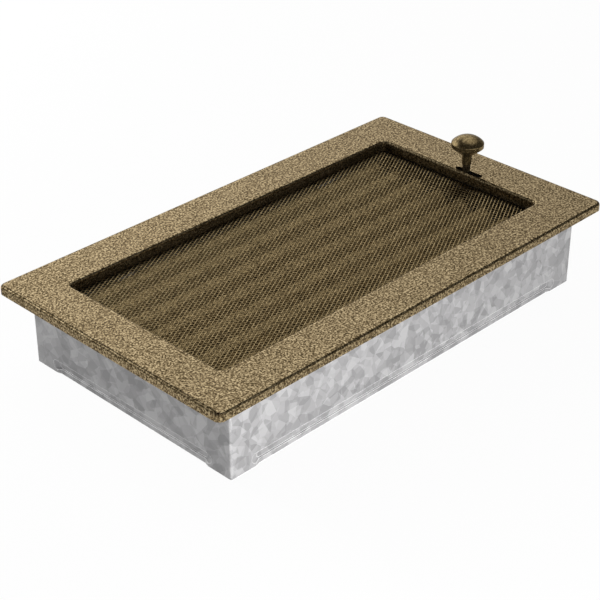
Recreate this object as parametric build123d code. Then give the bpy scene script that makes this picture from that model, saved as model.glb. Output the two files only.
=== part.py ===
from build123d import *
import math
import os

# Louvred warm-air grille for a fireplace hood. A pressed cover with a sunk window stands on a galvanised
# frame that is set into the hood. Expanded mesh closes the window, and the slats behind it turn together:
# each has a cranked pivot wire, the cranks hang in one link bar, and a lever with a knob moves the bar.
# X runs along the cover, with the knob at +X. Z is up, with the frame's bottom rim at zero.

# Cover plate, pressed from one sheet
COVER_LENGTH = 335.0
COVER_WIDTH = 190.0
COVER_SHEET = 1.0
COVER_CORNER_RADIUS = 4.5
LIP_HEIGHT = 5.7
LIP_RADIUS = 2.2
FLANGE_WIDTH = 27.6
KNOB_FLANGE_WIDTH = 28.9
WINDOW_CORNER_RADIUS = 3.5
WINDOW_BEND_RADIUS = 2.0
RECESS_DEPTH = 7.2
LEVER_SLOT_CLEARANCE = 1.0
LEVER_SLOT_END_GAP = 1.0

# Galvanised frame, folded from one strip with a lapped seam
END_OVERHANG = 16.5
SIDE_OVERHANG = 10.0
FRAME_HEIGHT = 55.0
FRAME_SHEET = 0.7
FRAME_CORNER_RADIUS = 1.2
BEAD_HEIGHT = 6.6
BEAD_DEPTH = 1.6
BEAD_SLOPE = 1.5
BEAD_END_SLOPE = 5.0
BEAD_END_MARGIN = 15.5
BEAD_BOTTOM_MARGIN = 2.2
RIM_JOG = 1.0
RIM_JOG_RAMP = 3.0
SEAM_LAP = 14.0
SEAM_RIVET_RADIUS = 1.6
SEAM_RIVET_HEAD_RADIUS = 2.8
SEAM_RIVET_SPACING = 22.0

# Mesh and the two rails that clamp its long edges
MESH_THICKNESS = 1.0
MESH_EDGE_GAP = 0.6
MESH_BORDER = 5.0
MESH_STRAND = 3.2
MESH_COLUMNS = 12
MESH_ROWS = 5
CARRIER_SHEET = 0.8
CARRIER_BEND_RADIUS = 0.9
CARRIER_TOP_GAP = 2.2
RAIL_SHELF = 5.0
RAIL_END_GAP = 4.5

# Bearing plates at the two ends of the slats
PLATE_BELOW_AXIS = 7.0
PLATE_RAIL_GAP = 0.5

# Slats and their pivot wires
SLAT_COUNT = 7
SLAT_OVERLAP = 2.0
SLAT_EDGE = 5.7
SLAT_SIDE_MARGIN = 4.7
SLAT_EDGE_ANGLE = 15.0
SLAT_SHEET = 0.6
SLAT_BEND_RADIUS = 1.5
SLAT_TILT = 48.0
SLAT_OPEN_SWING = 18.0
SLAT_CLOSE_SWING = 37.0
SLAT_END_GAP = 5.0
SLAT_MESH_GAP = 1.4
WELD_GAP = 0.02
WIRE_RADIUS = 1.25
WIRE_BEND_RADIUS = 2.2
WIRE_HEAD_RADIUS = 2.2
WIRE_HEAD_LENGTH = 1.0
WIRE_TAIL = 1.2
RUNNING_CLEARANCE = 0.08
CRANK_RADIUS = 16.0
CRANK_BEND_GAP = 0.3

# Link bar, lever and knob
BAR_HEIGHT = 10.0
BAR_SHEET = 1.5
LEVER_WIDTH = 5.0
LEVER_SHEET = 2.0
LEVER_Y = -4.8
LEVER_LEG_GAP = 0.5
LEVER_SHOULDER = 5.6
LEVER_FOOT_RADIUS = 2.2
LEVER_RIVET_RADIUS = 1.5
LEVER_RIVET_SPACING = 5.0
STUD_RADIUS = 1.5
STUD_LENGTH = 8.0
STUD_CLEARANCE = 0.05
KNOB_RADIUS = 10.8
KNOB_STEM_RADIUS = 3.2
KNOB_STEM_LENGTH = 6.0
KNOB_FLARE_HEIGHT = 6.4
KNOB_RIM_HEIGHT = 2.8
KNOB_RIM_RADIUS = 0.9
KNOB_DOME = 4.9
LEVER_RIVET_HEAD_RADIUS = 2.6
RIVET_HEAD_HEIGHT = 1.3
RIVET_HEAD_TAPER = 0.8
RIVET_CLEARANCE = 0.05

# Spring clips that hold the cover in the frame
CLIP_WIDTH = 14.0
CLIP_SHEET = 0.6
CLIP_BEND_RADIUS = 1.5
CLIP_END_DISTANCE = 49.0
CLIP_FOOT_HEIGHT = 6.0
CLIP_LAND = 5.0
CLIP_BEAD_GAP = 8.2
CLIP_RETURN = 7.0

# Levels and places that follow from the sizes above
FRAME_LENGTH = COVER_LENGTH - 2 * END_OVERHANG
FRAME_WIDTH = COVER_WIDTH - 2 * SIDE_OVERHANG
Z_TOP = FRAME_HEIGHT + COVER_SHEET
Z_MESH = Z_TOP - RECESS_DEPTH
Z_SHELF = Z_MESH - MESH_THICKNESS
WALL_LEFT = -COVER_LENGTH / 2 + FLANGE_WIDTH + WINDOW_BEND_RADIUS
WALL_RIGHT = COVER_LENGTH / 2 - KNOB_FLANGE_WIDTH - WINDOW_BEND_RADIUS
WALL_Y = COVER_WIDTH / 2 - FLANGE_WIDTH - WINDOW_BEND_RADIUS
WINDOW_X = (WALL_LEFT + WALL_RIGHT) / 2
WINDOW_LENGTH = WALL_RIGHT - WALL_LEFT
WINDOW_WIDTH = 2 * WALL_Y
LEG_LEFT = WALL_LEFT - COVER_SHEET
LEG_RIGHT = WALL_RIGHT + COVER_SHEET
LEG_Y = WALL_Y + COVER_SHEET
PLATE_HALF_WIDTH = LEG_Y + CARRIER_SHEET - RAIL_SHELF - PLATE_RAIL_GAP
SLAT_PITCH = 2 * (PLATE_HALF_WIDTH - SLAT_SIDE_MARGIN) / (SLAT_COUNT - 1)
SLAT_BAND = SLAT_PITCH + SLAT_OVERLAP - 2 * SLAT_EDGE
SLAT_HALF_WIDTH = SLAT_BAND / 2 + SLAT_EDGE
SLAT_LIFT = WIRE_RADIUS + WELD_GAP + SLAT_SHEET / 2
Z_AXIS = Z_SHELF - SLAT_MESH_GAP - SLAT_HALF_WIDTH
Z_PIN = Z_AXIS - CRANK_RADIUS
SLAT_YS = [(i - (SLAT_COUNT - 1) / 2) * SLAT_PITCH for i in range(SLAT_COUNT)]
LEVER_X = LEG_RIGHT + CARRIER_SHEET + LEVER_LEG_GAP
BAR_X = LEVER_X - BAR_SHEET
CRANK_X = BAR_X - CRANK_BEND_GAP - WIRE_BEND_RADIUS
PLATE_RIGHT = CRANK_X - WIRE_BEND_RADIUS - CRANK_BEND_GAP - CARRIER_SHEET
PLATE_STEP = LEG_RIGHT - PLATE_RIGHT
PLATE_LEFT = LEG_LEFT + PLATE_STEP
OPEN_TRAVEL = CRANK_RADIUS * math.sin(math.radians(SLAT_OPEN_SWING))
CLOSE_TRAVEL = CRANK_RADIUS * math.sin(math.radians(SLAT_CLOSE_SWING))
LEVER_SLOT_LENGTH = LEVER_WIDTH + OPEN_TRAVEL + CLOSE_TRAVEL + 2 * LEVER_SLOT_END_GAP
LEVER_SLOT_Y = LEVER_Y + (OPEN_TRAVEL - CLOSE_TRAVEL) / 2
LEVER_AXIS_X = LEVER_X + LEVER_SHEET / 2
Z_SHOULDER = Z_TOP + LEVER_SHOULDER
LEVER_RIVET_ZS = [Z_PIN - LEVER_RIVET_SPACING / 2, Z_PIN + LEVER_RIVET_SPACING / 2]
Z_BEAD = BEAD_BOTTOM_MARGIN + BEAD_HEIGHT / 2
CLIP_X = WINDOW_LENGTH / 2 - CLIP_END_DISTANCE
SEAM_X = FRAME_LENGTH / 2 - SEAM_LAP / 2
SEAM_Z = (Z_BEAD + BEAD_HEIGHT / 2 + FRAME_HEIGHT) / 2
SEAM_RIVET_ZS = [SEAM_Z - SEAM_RIVET_SPACING / 2, SEAM_Z + SEAM_RIVET_SPACING / 2]


def top_edges(solid):
    """Edges round the highest face of a solid."""
    return solid.faces().sort_by(Axis.Z)[-1].outer_wire().edges()


def block(x0, x1, y0, y1, z0, z1):
    """Upright box between two corners."""
    return Pos((x0 + x1) / 2, (y0 + y1) / 2, (z0 + z1) / 2) * Box(x1 - x0, y1 - y0, z1 - z0)


def rounded_block(length, width, radius, z0, z1, x=0.0):
    """Upright prism over a rectangle with round corners."""
    return Pos(x, 0, z0) * extrude(RectangleRounded(length, width, radius), z1 - z0)


def folded_strip(plane, points, radius, sheet, width):
    """Sheet strip folded along a line of points, centred on its plane across its width."""
    line = FilletPolyline(*points, radius=radius)
    return extrude(plane * trace(line, sheet), width / 2, both=True)


def round_pin(x0, x1, y, z, radius):
    """Cylinder along X."""
    return Pos((x0 + x1) / 2, y, z) * Rot(0, 90, 0) * Cylinder(radius, x1 - x0)


def rivet_head(radius):
    """Low tapered rivet head standing on the XY plane."""
    base = (Align.CENTER, Align.CENTER, Align.MIN)
    return Cone(radius, radius - RIVET_HEAD_TAPER, RIVET_HEAD_HEIGHT, align=base)


def front_cover():
    """Pressed cover: downturned lip, sunk window with folded walls, and the lever's slot."""
    lip_bottom = Z_TOP - LIP_HEIGHT
    outer = rounded_block(COVER_LENGTH, COVER_WIDTH, COVER_CORNER_RADIUS, lip_bottom, Z_TOP)
    outer = fillet(top_edges(outer), LIP_RADIUS)
    inner = rounded_block(COVER_LENGTH - 2 * COVER_SHEET, COVER_WIDTH - 2 * COVER_SHEET,
                          COVER_CORNER_RADIUS - COVER_SHEET, lip_bottom, Z_TOP - COVER_SHEET)
    inner = fillet(top_edges(inner), LIP_RADIUS - COVER_SHEET)
    collar = rounded_block(WINDOW_LENGTH + 2 * COVER_SHEET, WINDOW_WIDTH + 2 * COVER_SHEET,
                           WINDOW_CORNER_RADIUS + COVER_SHEET, Z_MESH, Z_TOP, WINDOW_X)
    window = rounded_block(WINDOW_LENGTH, WINDOW_WIDTH, WINDOW_CORNER_RADIUS,
                           Z_MESH - COVER_SHEET, Z_TOP + COVER_SHEET, WINDOW_X)
    cover = outer - inner + collar - window
    mouth = [e for e in cover.edges().group_by(Axis.Z)[-1]
             if abs(e.center().X - WINDOW_X) < WINDOW_LENGTH / 2 + COVER_SHEET
             and abs(e.center().Y) < WALL_Y + COVER_SHEET]
    cover = fillet(mouth, WINDOW_BEND_RADIUS)
    root = [e for e in cover.edges()
            if abs(e.center().Z - (Z_TOP - COVER_SHEET)) < COVER_SHEET / 4
            and abs(e.center().X - WINDOW_X) < WINDOW_LENGTH / 2 + 2 * COVER_SHEET
            and abs(e.center().Y) < WALL_Y + 2 * COVER_SHEET]
    cover = fillet(root, WINDOW_BEND_RADIUS - COVER_SHEET)
    slot_width = LEVER_SHEET + 2 * LEVER_SLOT_CLEARANCE
    slot = extrude(Rot(0, 0, 90) * SlotOverall(LEVER_SLOT_LENGTH, slot_width), 2 * COVER_SHEET, both=True)
    return cover - Pos(LEVER_AXIS_X, LEVER_SLOT_Y, Z_TOP) * slot


def mesh_screen():
    """Mesh under the window walls, drawn as a coarse net of diamond openings."""
    length = WINDOW_LENGTH + 2 * COVER_SHEET - 2 * MESH_EDGE_GAP
    width = WINDOW_WIDTH + 2 * COVER_SHEET - 2 * MESH_EDGE_GAP
    pitch_x = (length - 2 * MESH_BORDER) / MESH_COLUMNS
    pitch_y = (width - 2 * MESH_BORDER) / MESH_ROWS
    half_x = pitch_x / 2 - MESH_STRAND / 2 * pitch_x / pitch_y
    half_y = pitch_y / 2 - MESH_STRAND / 2
    diamond = Polygon((half_x, 0), (0, half_y), (-half_x, 0), (0, -half_y))
    even = GridLocations(pitch_x, pitch_y, MESH_COLUMNS, MESH_ROWS)
    odd = GridLocations(pitch_x, pitch_y, MESH_COLUMNS - 1, MESH_ROWS - 1)
    net = Rectangle(length, width) - [place * diamond for place in even] - [place * diamond for place in odd]
    return Pos(WINDOW_X, 0, Z_SHELF) * extrude(net, MESH_THICKNESS)


def mesh_rail(side):
    """Angle strip welded to a long window wall, with a shelf under the mesh."""
    half = CARRIER_SHEET / 2
    leg = LEG_Y + half
    points = [(side * leg, Z_TOP - CARRIER_TOP_GAP), (side * leg, Z_SHELF - half),
              (side * (leg + half - RAIL_SHELF), Z_SHELF - half)]
    length = WINDOW_LENGTH - 2 * RAIL_END_GAP
    rail = folded_strip(Plane.YZ, points, CARRIER_BEND_RADIUS, CARRIER_SHEET, length)
    return Pos(WINDOW_X, 0, 0) * rail


def bearing_plate(leg_face, plate_face, side):
    """Stepped end plate: a leg on the window wall, a shelf under the mesh, and the slats' bearing holes."""
    half = CARRIER_SHEET / 2
    leg = leg_face + side * half
    plate = plate_face + side * half
    points = [(leg, Z_TOP - CARRIER_TOP_GAP), (leg, Z_SHELF - half), (plate, Z_SHELF - half),
              (plate, Z_AXIS - PLATE_BELOW_AXIS)]
    body = folded_strip(Plane.XZ, points, CARRIER_BEND_RADIUS, CARRIER_SHEET, 2 * PLATE_HALF_WIDTH)
    for y in SLAT_YS:
        body -= round_pin(plate - CARRIER_SHEET, plate + CARRIER_SHEET, y, Z_AXIS,
                          WIRE_RADIUS + RUNNING_CLEARANCE)
    return body


def bead_form(length):
    """Solid that a bead presses into a wall: a long round-ended groove above a slightly pulled-in rim."""
    mouth = SlotOverall(length, BEAD_HEIGHT)
    floor = SlotOverall(length - 2 * BEAD_END_SLOPE, BEAD_HEIGHT - 2 * BEAD_SLOPE)
    groove = loft([mouth, Pos(0, 0, BEAD_DEPTH) * floor])
    half = length / 2 - BEAD_HEIGHT / 2
    ramp = Polygon((-half, 0), (half, 0), (half - RIM_JOG_RAMP, RIM_JOG), (-half + RIM_JOG_RAMP, RIM_JOG),
                   align=None)
    rim = Rot(90, 0, 0) * extrude(ramp, Z_BEAD)
    return groove + rim


def frame_walls():
    """Planes on the four outer wall faces, looking inward, each with its bead's length."""
    long_bead = FRAME_LENGTH - 2 * BEAD_END_MARGIN
    short_bead = FRAME_WIDTH - 2 * BEAD_END_MARGIN
    walls = []
    for side in (-1, 1):
        walls.append((Plane((0, side * FRAME_WIDTH / 2, Z_BEAD), (side, 0, 0), (0, -side, 0)), long_bead))
        walls.append((Plane((side * FRAME_LENGTH / 2, 0, Z_BEAD), (0, -side, 0), (-side, 0, 0)), short_bead))
    return walls


def mounting_frame():
    """Four walls folded from one strip, with a pressed bead along each and a lapped seam."""
    inner_length = FRAME_LENGTH - 2 * FRAME_SHEET
    inner_width = FRAME_WIDTH - 2 * FRAME_SHEET
    frame = rounded_block(FRAME_LENGTH, FRAME_WIDTH, FRAME_CORNER_RADIUS, 0, FRAME_HEIGHT)
    frame -= rounded_block(inner_length, inner_width, FRAME_CORNER_RADIUS - FRAME_SHEET, 0, FRAME_HEIGHT)
    seam_bottom = Z_BEAD + BEAD_HEIGHT / 2 + FRAME_SHEET
    frame += block(inner_length / 2 - SEAM_LAP, inner_length / 2, inner_width / 2 - FRAME_SHEET,
                   inner_width / 2, seam_bottom, FRAME_HEIGHT)
    for plane, length in frame_walls():
        form = bead_form(length)
        frame += plane * Pos(0, 0, FRAME_SHEET) * form
        frame -= plane * form
    for z in SEAM_RIVET_ZS:
        hole = Cylinder(SEAM_RIVET_RADIUS + RIVET_CLEARANCE, 4 * FRAME_SHEET)
        frame -= Pos(SEAM_X, FRAME_WIDTH / 2 - FRAME_SHEET, z) * Rot(90, 0, 0) * hole
    return frame


def frame_rivets():
    """Two rivets through the lapped seam."""
    rivets = []
    for z in SEAM_RIVET_ZS:
        shank = Pos(0, 0, -FRAME_SHEET) * Cylinder(SEAM_RIVET_RADIUS, 2 * FRAME_SHEET)
        rivet = shank + rivet_head(SEAM_RIVET_HEAD_RADIUS)
        rivets.append(Pos(SEAM_X, FRAME_WIDTH / 2, z) * Rot(-90, 0, 0) * rivet)
    return Compound(children=rivets)


def slat(y):
    """Sheet slat with both edges bent down, tilted to the half-open position."""
    rise = Vector(SLAT_EDGE, 0).rotate(Axis.Z, -SLAT_EDGE_ANGLE)
    reach = SLAT_BAND / 2 + rise.X
    points = [(-reach, SLAT_LIFT + rise.Y), (-SLAT_BAND / 2, SLAT_LIFT), (SLAT_BAND / 2, SLAT_LIFT),
              (reach, SLAT_LIFT + rise.Y)]
    left = PLATE_LEFT + SLAT_END_GAP
    right = PLATE_RIGHT - SLAT_END_GAP
    blade = folded_strip(Plane.YZ, points, SLAT_BEND_RADIUS, SLAT_SHEET, right - left)
    return Pos((left + right) / 2, y, Z_AXIS) * Rot(SLAT_TILT, 0, 0) * blade


def pivot_wire(y):
    """Wire welded under a slat: peened at the far end, cranked down into the link bar at the knob end."""
    start = PLATE_LEFT - CARRIER_SHEET - RUNNING_CLEARANCE
    end = LEVER_X + WIRE_TAIL
    points = [(start, 0, 0), (CRANK_X, 0, 0), (CRANK_X, 0, -CRANK_RADIUS), (end, 0, -CRANK_RADIUS)]
    path = FilletPolyline(*points, radius=WIRE_BEND_RADIUS)
    wire = sweep(Plane(path @ 0, z_dir=path % 0) * Circle(WIRE_RADIUS), path=path)
    wire += round_pin(start - WIRE_HEAD_LENGTH, start, 0, 0, WIRE_HEAD_RADIUS)
    return Pos(0, y, Z_AXIS) * wire


def link_bar():
    """Flat bar that joins the seven crank pins."""
    length = SLAT_YS[-1] - SLAT_YS[0] + BAR_HEIGHT
    bar = extrude(Plane.YZ * SlotOverall(length, BAR_HEIGHT), BAR_SHEET)
    bar = Pos(BAR_X, 0, Z_PIN) * bar
    pin_hole = WIRE_RADIUS + RUNNING_CLEARANCE
    rivet_hole = LEVER_RIVET_RADIUS + RIVET_CLEARANCE
    for y in SLAT_YS:
        bar -= round_pin(BAR_X - BAR_SHEET, LEVER_X + BAR_SHEET, y, Z_PIN, pin_hole)
    for z in LEVER_RIVET_ZS:
        bar -= round_pin(BAR_X - BAR_SHEET, LEVER_X + BAR_SHEET, LEVER_Y, z, rivet_hole)
    return bar


def lever():
    """Strap riveted to the link bar, standing up through the cover's slot, with a stud for the knob."""
    bottom = Z_PIN - BAR_HEIGHT / 2
    outline = Pos(LEVER_Y, (bottom + Z_SHOULDER) / 2) * Rectangle(LEVER_WIDTH, Z_SHOULDER - bottom)
    strap = Pos(LEVER_X, 0, 0) * extrude(Plane.YZ * outline, LEVER_SHEET)
    foot = strap.edges().filter_by(Axis.X).group_by(Axis.Z)[0]
    strap = fillet(foot, LEVER_FOOT_RADIUS)
    for z in LEVER_RIVET_ZS:
        strap -= round_pin(BAR_X, LEVER_X + 2 * LEVER_SHEET, LEVER_Y, z, LEVER_RIVET_RADIUS + RIVET_CLEARANCE)
    stud = Pos(LEVER_AXIS_X, LEVER_Y, Z_SHOULDER + STUD_LENGTH / 2) * Cylinder(STUD_RADIUS, STUD_LENGTH)
    return strap + stud


def lever_rivets():
    """Two rivets that join the lever to the link bar, set flush on the cranks' side."""
    rivets = []
    for z in LEVER_RIVET_ZS:
        shank = round_pin(BAR_X, LEVER_X + LEVER_SHEET, LEVER_Y, z, LEVER_RIVET_RADIUS)
        head = Pos(LEVER_X + LEVER_SHEET, LEVER_Y, z) * Rot(0, 90, 0) * rivet_head(LEVER_RIVET_HEAD_RADIUS)
        rivets.append(shank + head)
    return Compound(children=rivets)


def knob():
    """Turned mushroom knob with a slim stem, bored for the lever's stud."""
    flare = KNOB_STEM_LENGTH + KNOB_FLARE_HEIGHT
    rim = flare + KNOB_RIM_HEIGHT
    crown = rim + KNOB_DOME
    dome_radius = (KNOB_RADIUS**2 + KNOB_DOME**2) / (2 * KNOB_DOME)
    with BuildPart() as turned:
        with BuildSketch(Plane.XZ):
            with BuildLine():
                Polyline((0, crown), (0, 0), (KNOB_STEM_RADIUS, 0), (KNOB_STEM_RADIUS, KNOB_STEM_LENGTH),
                         (KNOB_RADIUS, flare), (KNOB_RADIUS, rim))
                RadiusArc((KNOB_RADIUS, rim), (0, crown), -dome_radius)
            make_face()
        revolve(axis=Axis.Z)
        circles = turned.edges().filter_by(GeomType.CIRCLE)
        fillet(circles.sort_by(SortBy.RADIUS)[-2:], KNOB_RIM_RADIUS)
    bore = Cylinder(STUD_RADIUS + STUD_CLEARANCE, STUD_LENGTH + STUD_CLEARANCE,
                    align=(Align.CENTER, Align.CENTER, Align.MIN))
    return Pos(LEVER_AXIS_X, LEVER_Y, Z_SHOULDER) * (turned.part - bore)


def spring_clip(x, side):
    """Leaf spring welded to a mesh rail, bowed out to a land on the frame's wall."""
    half = CLIP_SHEET / 2
    foot = LEG_Y + CARRIER_SHEET + half
    land = FRAME_WIDTH / 2 - FRAME_SHEET - half
    foot_top = Z_TOP - CARRIER_TOP_GAP
    knee = foot_top - CLIP_FOOT_HEIGHT
    land_bottom = Z_BEAD + BEAD_HEIGHT / 2 + CLIP_BEAD_GAP
    points = [(foot, foot_top), (foot, knee), (land, land_bottom + CLIP_LAND), (land, land_bottom),
              (land - CLIP_RETURN, land_bottom - CLIP_RETURN)]
    points = [(side * y, z) for y, z in points]
    return Pos(x, 0, 0) * folded_strip(Plane.YZ, points, CLIP_BEND_RADIUS, CLIP_SHEET, CLIP_WIDTH)


def build():
    """All pieces by node name."""
    pieces = {
        "front_cover": front_cover(),
        "mesh_screen": mesh_screen(),
        "mesh_rail_front": mesh_rail(-1),
        "mesh_rail_back": mesh_rail(1),
        "bearing_plate_left": bearing_plate(LEG_LEFT, PLATE_LEFT, -1),
        "bearing_plate_right": bearing_plate(LEG_RIGHT, PLATE_RIGHT, 1),
        "mounting_frame": mounting_frame(),
        "frame_rivets": frame_rivets(),
        "link_bar": link_bar(),
        "lever": lever(),
        "lever_rivets": lever_rivets(),
        "knob": knob(),
        "spring_clip_front_left": spring_clip(WINDOW_X - CLIP_X, -1),
        "spring_clip_front_right": spring_clip(WINDOW_X + CLIP_X, -1),
        "spring_clip_back_left": spring_clip(WINDOW_X - CLIP_X, 1),
        "spring_clip_back_right": spring_clip(WINDOW_X + CLIP_X, 1),
    }
    for number, y in enumerate(SLAT_YS, 1):
        pieces[f"slat_{number}"] = slat(y)
        pieces[f"pivot_wire_{number}"] = pivot_wire(y)
    return pieces


os.makedirs("parts", exist_ok=True)
for name, piece in build().items():
    export_step(piece, f"parts/{name}.step")
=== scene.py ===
import math

import bpy
from mathutils import Matrix, Vector


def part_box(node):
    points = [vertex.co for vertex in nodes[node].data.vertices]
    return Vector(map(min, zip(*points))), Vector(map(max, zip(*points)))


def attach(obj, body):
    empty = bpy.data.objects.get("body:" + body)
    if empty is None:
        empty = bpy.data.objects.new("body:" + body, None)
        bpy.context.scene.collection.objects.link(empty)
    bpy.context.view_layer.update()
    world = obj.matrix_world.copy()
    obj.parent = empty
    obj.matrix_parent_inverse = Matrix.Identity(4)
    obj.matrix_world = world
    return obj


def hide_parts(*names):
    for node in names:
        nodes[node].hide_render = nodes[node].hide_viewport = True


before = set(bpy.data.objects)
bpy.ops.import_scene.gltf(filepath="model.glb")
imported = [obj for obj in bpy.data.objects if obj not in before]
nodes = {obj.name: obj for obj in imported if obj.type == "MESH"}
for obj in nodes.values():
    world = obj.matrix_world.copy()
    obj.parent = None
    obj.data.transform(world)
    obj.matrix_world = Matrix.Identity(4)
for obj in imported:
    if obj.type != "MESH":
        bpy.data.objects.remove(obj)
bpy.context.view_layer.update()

# Camera: place in metres, turns in degrees, lens and sensor in millimetres
CAMERA_EYE = Vector((-0.62475, -0.60446, 0.53435))
CAMERA_AZIMUTH = -45.392
CAMERA_ELEVATION = 30.911
CAMERA_LENS = 97.26
CAMERA_SENSOR = 36.0

# Expanded mesh: cell sizes, strand section, rise of each strand and lean of its faces
CELL_LENGTH = 0.00488
CELL_WIDTH = 0.00262
STRAND_WIDTH = 0.00042
STRAND_THICKNESS = 0.00025
STRAND_RISE = 0.00032
STRAND_LEAN = math.radians(12)

# Coats: grain size and noise, levels of the dark, middle and light grains, clump size in grains, its noise
# and share, depth of a pebble in grains, and colour at a grazing angle
GRAIN = 0.00117
GRAIN_DETAIL = 3.0
GRAIN_ROUGHNESS = 0.65
GRAIN_LEVELS = (0.40, 0.50, 0.60)
CLUMP_SIZE = 2.6
CLUMP_DETAIL = 1.0
CLUMP_SHARE = 0.10
PEBBLE_DEPTH = 0.25
COAT_EDGE_TINT = (0.58, 0.56, 0.54, 1)

# Dark, middle and light colour of each coat, its roughness, bump and metallic share
COATS = {
    "cover_coat": ((0.038, 0.026, 0.010), (0.168, 0.120, 0.060), (0.45, 0.355, 0.208), 0.20, 0.12, 0.92),
    "knob_coat": ((0.09, 0.065, 0.030), (0.17, 0.124, 0.058), (0.27, 0.205, 0.105), 0.24, 0.03, 0.92),
    # Painted light: the slats carry the cover's coat made lighter, so that they look lit behind the mesh
    "slat_coat": ((0.075, 0.053, 0.020), (0.41, 0.295, 0.137), (0.69, 0.515, 0.252), 0.42, 0.12, 0.65),
    "mesh_coat": ((0.10, 0.070, 0.032), (0.27, 0.20, 0.098), (0.44, 0.335, 0.178), 0.34, 0.10, 0.92),
    "lever_coat": ((0.02, 0.015, 0.008), (0.09, 0.065, 0.035), (0.20, 0.16, 0.10), 0.30, 0.12, 0.92),
    # Painted shade: the carriers are near-black so that the hollow under the mesh looks dark
    "carrier_coat": ((0.012, 0.010, 0.008), (0.03, 0.025, 0.020), (0.06, 0.05, 0.04), 0.45, 0.12, 0.92),
}

# Zinc: stretch and turns of the shard layers, shares of the second and third, levels of dark and light
# shards, width of a painted edge highlight and its brightness by how far the surface bends there
SHARD_STRETCH = (0.6, 0.6, 1.8)
SHARD_TURNS = ((0.7, 0.6, 0.2), (-0.8, 0.5, 0.9), (0.3, -1.0, 0.5))
SHARD_SHARES = (0.5, 0.35)
SHARD_LEVELS = (0.25, 0.75)
EDGE_WIDTH = 0.00042
EDGE_SAMPLES = 6
EDGE_LEVELS = ((0.05, 0.0), (0.25, 0.50))

# Dark and light colour of each zinc, its metallic share, roughness, shard size and tilt of the shards
ZINCS = {
    "frame_zinc": ((0.165, 0.163, 0.165), (0.292, 0.289, 0.291), 0.25, 0.34, 0.0095, 0.20),
    "part_zinc": ((0.14, 0.14, 0.145), (0.24, 0.24, 0.25), 0.7, 0.36, 0.006, 0.08),
}

# Place, aim, width, height and power of each lamp
LAMPS = {
    "front_left": ((-0.25, -0.60, 0.055), (0, -0.085, 0.03), 0.40, 0.09, 7.4),
    "back_left": ((-0.25, 1.20, 0.30), (-0.15, 0, 0.01), 0.30, 0.30, 22),
}

# Colour sockets of a mix node
MIX_FIRST, MIX_SECOND, MIX_RESULT = 6, 7, 2

# Studio: white floor, shaded inside the frame, a low sky that is brightest behind the grille, weaker in
# front and dark at the sides, a wide panel high on the right and a small one high at the back
FLOOR_SIZE = 60.0
FLOOR_COLOR = (0.70, 0.70, 0.70, 1)
FLOOR_WHITE_SHARE = 0.96
SHADE_LENGTH = 0.294
SHADE_WIDTH = 0.162
SHADE_HEIGHT = 0.0002
SKY_TOWARD = (0.259, 0.966, 0.0)
SKY_STRENGTH = 2.0
SKY_LEVELS = ((0.02, 0.30), (0.10, 0.24), (0.20, 0.03), (0.42, 0.02), (0.60, 0.09), (0.80, 0.28),
              (0.90, 0.66), (0.97, 1.0))
SKY_HEIGHTS = ((0.48, 1.0), (0.53, 0.89), (0.58, 0.72), (0.70, 0.04))
PANEL_TOWARD = (0.425, 0.198, 0.883)
PANEL_LEVELS = ((0.865, 0.0), (0.91, 0.63))
STRIP_TOWARD = (-0.295, 0.731, 0.616)
STRIP_LEVELS = ((0.975, 0.0), (0.992, 0.8))


def link(tree, source, out, target, into):
    tree.links.new(source.outputs[out], target.inputs[into])


def new_node(tree, kind, **values):
    """Shader node with its properties, and its sockets by name, set."""
    node = tree.nodes.new(kind)
    for key, value in values.items():
        if hasattr(node, key):
            setattr(node, key, value)
        else:
            node.inputs[key.replace("_", " ")].default_value = value
    return node


def new_material(name):
    """Material with a bare surface shader, and its tree and shader."""
    material = bpy.data.materials.new(name)
    material.use_nodes = True
    tree = material.node_tree
    return material, tree, tree.nodes["Principled BSDF"]


def color_ramp(tree, stops):
    ramp = tree.nodes.new("ShaderNodeValToRGB")
    elements = ramp.color_ramp.elements
    while len(elements) < len(stops):
        elements.new(0.5)
    for element, (place, color) in zip(elements, stops):
        element.position = place
        element.color = (*color, 1)
    return ramp


def grey_ramp(tree, levels):
    return color_ramp(tree, [(place, (level,) * 3) for place, level in levels])


def combine(tree, kind, first, second, share=1.0):
    """Colour mix of two outputs."""
    mix = new_node(tree, "ShaderNodeMix", data_type="RGBA", blend_type=kind)
    mix.inputs["Factor"].default_value = share
    tree.links.new(first, mix.inputs[MIX_FIRST])
    tree.links.new(second, mix.inputs[MIX_SECOND])
    return mix.outputs[MIX_RESULT]


def speckled_coat(name, dark, middle, light, roughness, bump, metallic):
    """Textured coat: light and dark grains on a metallic ground, with a pebbled surface."""
    material, tree, shader = new_material(name)
    place = new_node(tree, "ShaderNodeTexCoord")
    noise = new_node(tree, "ShaderNodeTexNoise", Scale=1 / GRAIN, Detail=GRAIN_DETAIL,
                     Roughness=GRAIN_ROUGHNESS)
    clump = new_node(tree, "ShaderNodeTexNoise", Scale=1 / (CLUMP_SIZE * GRAIN), Detail=CLUMP_DETAIL)
    link(tree, place, "Object", noise, "Vector")
    link(tree, place, "Object", clump, "Vector")
    grains = combine(tree, "MIX", noise.outputs["Fac"], clump.outputs["Fac"], CLUMP_SHARE)
    ramp = color_ramp(tree, list(zip(GRAIN_LEVELS, (dark, middle, light))))
    tree.links.new(grains, ramp.inputs["Fac"])
    link(tree, ramp, "Color", shader, "Base Color")
    pebble = new_node(tree, "ShaderNodeBump", Strength=bump, Distance=GRAIN * PEBBLE_DEPTH)
    link(tree, noise, "Fac", pebble, "Height")
    link(tree, pebble, "Normal", shader, "Normal")
    shader.inputs["Metallic"].default_value = metallic
    shader.inputs["Specular Tint"].default_value = COAT_EDGE_TINT
    shader.inputs["Roughness"].default_value = roughness
    return material


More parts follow.
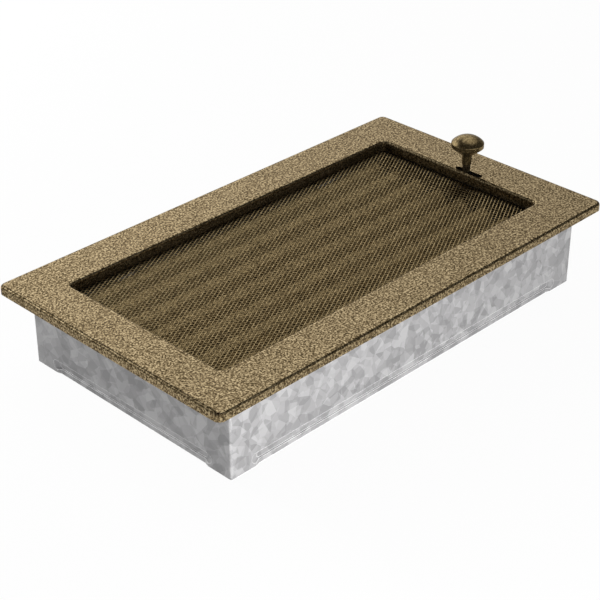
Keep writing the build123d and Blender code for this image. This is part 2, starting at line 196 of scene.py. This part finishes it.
def crystal_layer(tree, place, flake, turn):
    """Long straight-sided shards that run along one slanted direction."""
    mapping = new_node(tree, "ShaderNodeMapping", vector_type="TEXTURE", Rotation=turn, Scale=SHARD_STRETCH)
    link(tree, place, "Object", mapping, "Vector")
    cells = new_node(tree, "ShaderNodeTexVoronoi", Scale=1 / flake)
    link(tree, mapping, "Vector", cells, "Vector")
    return cells


def spangled_zinc(name, dark, light, metallic, roughness, flake, tilt):
    """Hot-dip zinc: crossing shards of slightly different brightness, with a painted highlight along edges
    and creases.
    """
    material, tree, shader = new_material(name)
    place = new_node(tree, "ShaderNodeTexCoord")
    shards, *layers = [crystal_layer(tree, place, flake, turn).outputs["Color"] for turn in SHARD_TURNS]
    for layer, share in zip(layers, SHARD_SHARES):
        shards = combine(tree, "MIX", shards, layer, share)
    level = new_node(tree, "ShaderNodeSeparateColor")
    tree.links.new(shards, level.inputs["Color"])
    ramp = color_ramp(tree, list(zip(SHARD_LEVELS, (dark, light))))
    link(tree, level, "Red", ramp, "Fac")
    surface = new_node(tree, "ShaderNodeNewGeometry")
    rounded = new_node(tree, "ShaderNodeBevel", samples=EDGE_SAMPLES, Radius=EDGE_WIDTH)
    bend = new_node(tree, "ShaderNodeVectorMath", operation="DISTANCE")
    link(tree, rounded, "Normal", bend, 0)
    link(tree, surface, "Normal", bend, 1)
    # Painted highlight: edges and creases are lightened by how far the rounded normal turns from the true
    # one
    painted_edge_highlight = grey_ramp(tree, EDGE_LEVELS)
    link(tree, bend, "Value", painted_edge_highlight, "Fac")
    zinc = combine(tree, "ADD", ramp.outputs["Color"], painted_edge_highlight.outputs["Color"])
    tree.links.new(zinc, shader.inputs["Base Color"])
    lean = new_node(tree, "ShaderNodeVectorMath", operation="MULTIPLY_ADD")
    tree.links.new(shards, lean.inputs[0])
    lean.inputs[1].default_value = (tilt, tilt, tilt)
    lean.inputs[2].default_value = (-tilt / 2, -tilt / 2, -tilt / 2)
    facing = new_node(tree, "ShaderNodeVectorMath", operation="ADD")
    link(tree, surface, "Normal", facing, 0)
    link(tree, lean, "Vector", facing, 1)
    unit = new_node(tree, "ShaderNodeVectorMath", operation="NORMALIZE")
    link(tree, facing, "Vector", unit, 0)
    link(tree, unit, "Vector", shader, "Normal")
    shader.inputs["Metallic"].default_value = metallic
    shader.inputs["Roughness"].default_value = roughness
    return material


def paint(material, *names):
    """Gives CAD nodes a material."""
    for name in names:
        slots = nodes[name].data.materials
        slots.clear()
        slots.append(material)


def expanded_mesh(name, low, high):
    """Zigzag strands along X that meet their neighbours at the bonds, as slit and stretched sheet does."""
    half_length, half_width = CELL_LENGTH / 2, CELL_WIDTH / 2
    columns = int((high.x - low.x) / half_length)
    rows = int((high.y - low.y) / half_width)
    x_start = (low.x + high.x - columns * half_length) / 2
    y_start = (low.y + high.y - rows * half_width) / 2
    z_middle = (low.z + high.z) / 2
    cos, sin = math.cos(STRAND_LEAN), math.sin(STRAND_LEAN)
    section = []
    for across, up in ((-1, -1), (1, -1), (1, 1), (-1, 1)):
        y, z = across * STRAND_WIDTH / 2, up * STRAND_THICKNESS / 2
        section.append((y * cos - z * sin, y * sin + z * cos))
    points, faces = [], []
    corners = len(section)
    for row in range(rows):
        first = len(points)
        for column in range(columns + 1):
            high_bond = (row + column) % 2
            shift = half_width - STRAND_WIDTH / 2 if high_bond else STRAND_WIDTH / 2
            y = y_start + row * half_width + shift
            z = z_middle + (STRAND_RISE if high_bond else -STRAND_RISE)
            x = x_start + column * half_length
            points += [(x, y + dy, z + dz) for dy, dz in section]
        for column in range(columns):
            a, b = first + column * corners, first + (column + 1) * corners
            for i in range(corners):
                j = (i + 1) % corners
                faces.append((a + i, b + i, b + j, a + j))
        last = first + columns * corners
        faces.append(tuple(first + i for i in range(corners)))
        faces.append(tuple(last + i for i in reversed(range(corners))))
    data = bpy.data.meshes.new(name)
    data.from_pydata(points, [], faces)
    data.update()
    piece = bpy.data.objects.new(name, data)
    bpy.context.scene.collection.objects.link(piece)
    return piece


def area_light(name, place, aim, width, height, power):
    """Soft lamp pointed at a place, which lights matt surfaces and isn't mirrored."""
    data = bpy.data.lights.new(name, "AREA")
    data.shape = "RECTANGLE"
    data.size, data.size_y = width, height
    data.energy = power
    lamp = bpy.data.objects.new(name, data)
    lamp.location = place
    lamp.rotation_mode = "QUATERNION"
    lamp.rotation_quaternion = (Vector(aim) - Vector(place)).to_track_quat("-Z", "Y")
    lamp.visible_glossy = False
    bpy.context.scene.collection.objects.link(lamp)


def build_camera():
    data = bpy.data.cameras.new("camera")
    data.lens = CAMERA_LENS
    data.sensor_width = CAMERA_SENSOR
    camera = bpy.data.objects.new("camera", data)
    azimuth, elevation = math.radians(CAMERA_AZIMUTH), math.radians(CAMERA_ELEVATION)
    back = Vector((math.sin(azimuth) * math.cos(elevation), -math.cos(azimuth) * math.cos(elevation),
                   math.sin(elevation)))
    camera.location = CAMERA_EYE
    camera.rotation_mode = "QUATERNION"
    camera.rotation_quaternion = (-back).to_track_quat("-Z", "Y")
    bpy.context.scene.collection.objects.link(camera)
    bpy.context.scene.camera = camera


def build_floor():
    """Pale floor that looks white to the camera and in reflections, and lies in shade inside the frame."""
    bpy.ops.mesh.primitive_plane_add(size=FLOOR_SIZE, location=(0, 0, 0))
    floor = bpy.context.object
    floor.name = "floor"
    material = bpy.data.materials.new("floor")
    material.use_nodes = True
    tree = material.node_tree
    tree.nodes.clear()
    output = new_node(tree, "ShaderNodeOutputMaterial")
    matte = new_node(tree, "ShaderNodeBsdfDiffuse", Color=FLOOR_COLOR)
    white = new_node(tree, "ShaderNodeEmission", Strength=1.0)
    path = new_node(tree, "ShaderNodeLightPath")
    seen = new_node(tree, "ShaderNodeMath", operation="MAXIMUM")
    link(tree, path, "Is Camera Ray", seen, 0)
    link(tree, path, "Is Glossy Ray", seen, 1)
    clear = new_node(tree, "ShaderNodeMath", operation="MAXIMUM")
    link(tree, seen, "Value", clear, 0)
    link(tree, path, "Is Transmission Ray", clear, 1)
    share = new_node(tree, "ShaderNodeMath", operation="MULTIPLY")
    link(tree, clear, "Value", share, 0)
    share.inputs[1].default_value = FLOOR_WHITE_SHARE
    mix = new_node(tree, "ShaderNodeMixShader")
    link(tree, share, "Value", mix, 0)
    link(tree, matte, "BSDF", mix, 1)
    link(tree, white, "Emission", mix, 2)
    link(tree, mix, "Shader", output, "Surface")
    floor.data.materials.append(material)
    bpy.ops.mesh.primitive_plane_add(size=1, location=(0, 0, SHADE_HEIGHT))
    shaded = bpy.context.object
    shaded.name = "shaded_floor"
    shaded.data.transform(Matrix.Diagonal((SHADE_LENGTH, SHADE_WIDTH, 1, 1)))
    ground, _, shader = new_material("shaded_floor")
    shader.inputs["Base Color"].default_value = FLOOR_COLOR
    shader.inputs["Roughness"].default_value = 1.0
    shaded.data.materials.append(ground)


def facing_level(tree, direction, toward, levels):
    """Grey level from how far a direction points towards a given one."""
    dot = new_node(tree, "ShaderNodeVectorMath", operation="DOT_PRODUCT")
    tree.links.new(direction, dot.inputs[0])
    dot.inputs[1].default_value = toward
    ramp = grey_ramp(tree, levels)
    link(tree, dot, "Value", ramp, "Fac")
    return ramp.outputs["Color"]


def build_world():
    """Low sky that depends on the compass direction, with two soft panels above it."""
    world = bpy.data.worlds.new("studio")
    bpy.context.scene.world = world
    world.use_nodes = True
    tree = world.node_tree
    background = tree.nodes["Background"]
    place = new_node(tree, "ShaderNodeTexCoord")
    flat = new_node(tree, "ShaderNodeVectorMath", operation="MULTIPLY")
    link(tree, place, "Generated", flat, 0)
    flat.inputs[1].default_value = (1, 1, 0)
    compass = new_node(tree, "ShaderNodeVectorMath", operation="NORMALIZE")
    link(tree, flat, "Vector", compass, 0)
    toward = new_node(tree, "ShaderNodeVectorMath", operation="DOT_PRODUCT")
    link(tree, compass, "Vector", toward, 0)
    toward.inputs[1].default_value = SKY_TOWARD
    turned = new_node(tree, "ShaderNodeMapRange", From_Min=-1.0, From_Max=1.0)
    link(tree, toward, "Value", turned, "Value")
    around = grey_ramp(tree, SKY_LEVELS)
    link(tree, turned, "Result", around, "Fac")
    direction = place.outputs["Generated"]
    height = facing_level(tree, direction, (0, 0, 1), SKY_HEIGHTS)
    sky = combine(tree, "MULTIPLY", around.outputs["Color"], height)
    sky = combine(tree, "ADD", sky, facing_level(tree, direction, PANEL_TOWARD, PANEL_LEVELS))
    sky = combine(tree, "ADD", sky, facing_level(tree, direction, STRIP_TOWARD, STRIP_LEVELS))
    tree.links.new(sky, background.inputs["Color"])
    background.inputs["Strength"].default_value = SKY_STRENGTH


build_camera()
build_floor()
build_world()
for name, lamp in LAMPS.items():
    area_light(name, *lamp)

coats = {name: speckled_coat(name, *look) for name, look in COATS.items()}
zincs = {name: spangled_zinc(name, *look) for name, look in ZINCS.items()}

clips = [name for name in nodes if name.startswith("spring_clip")]
slats = [name for name in nodes if name.startswith("slat_")]
wires = [name for name in nodes if name.startswith("pivot_wire")]
carriers = ["mesh_rail_front", "mesh_rail_back", "bearing_plate_left", "bearing_plate_right"]
paint(coats["cover_coat"], "front_cover")
paint(coats["knob_coat"], "knob")
# Slats get the lighter copy of the cover's coat, with painted light
paint(coats["slat_coat"], *slats)
paint(coats["lever_coat"], "lever")
# Rails and bearing plates get the near-black painted shade
paint(coats["carrier_coat"], *carriers)
paint(zincs["frame_zinc"], "mounting_frame")
paint(zincs["part_zinc"], "frame_rivets", "lever_rivets", "link_bar", *clips, *wires)

screen = expanded_mesh("fine_mesh", *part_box("mesh_screen"))
screen.data.materials.append(coats["mesh_coat"])
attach(screen, "housing")
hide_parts("mesh_screen")

bpy.context.scene.view_settings.view_transform = "Standard"
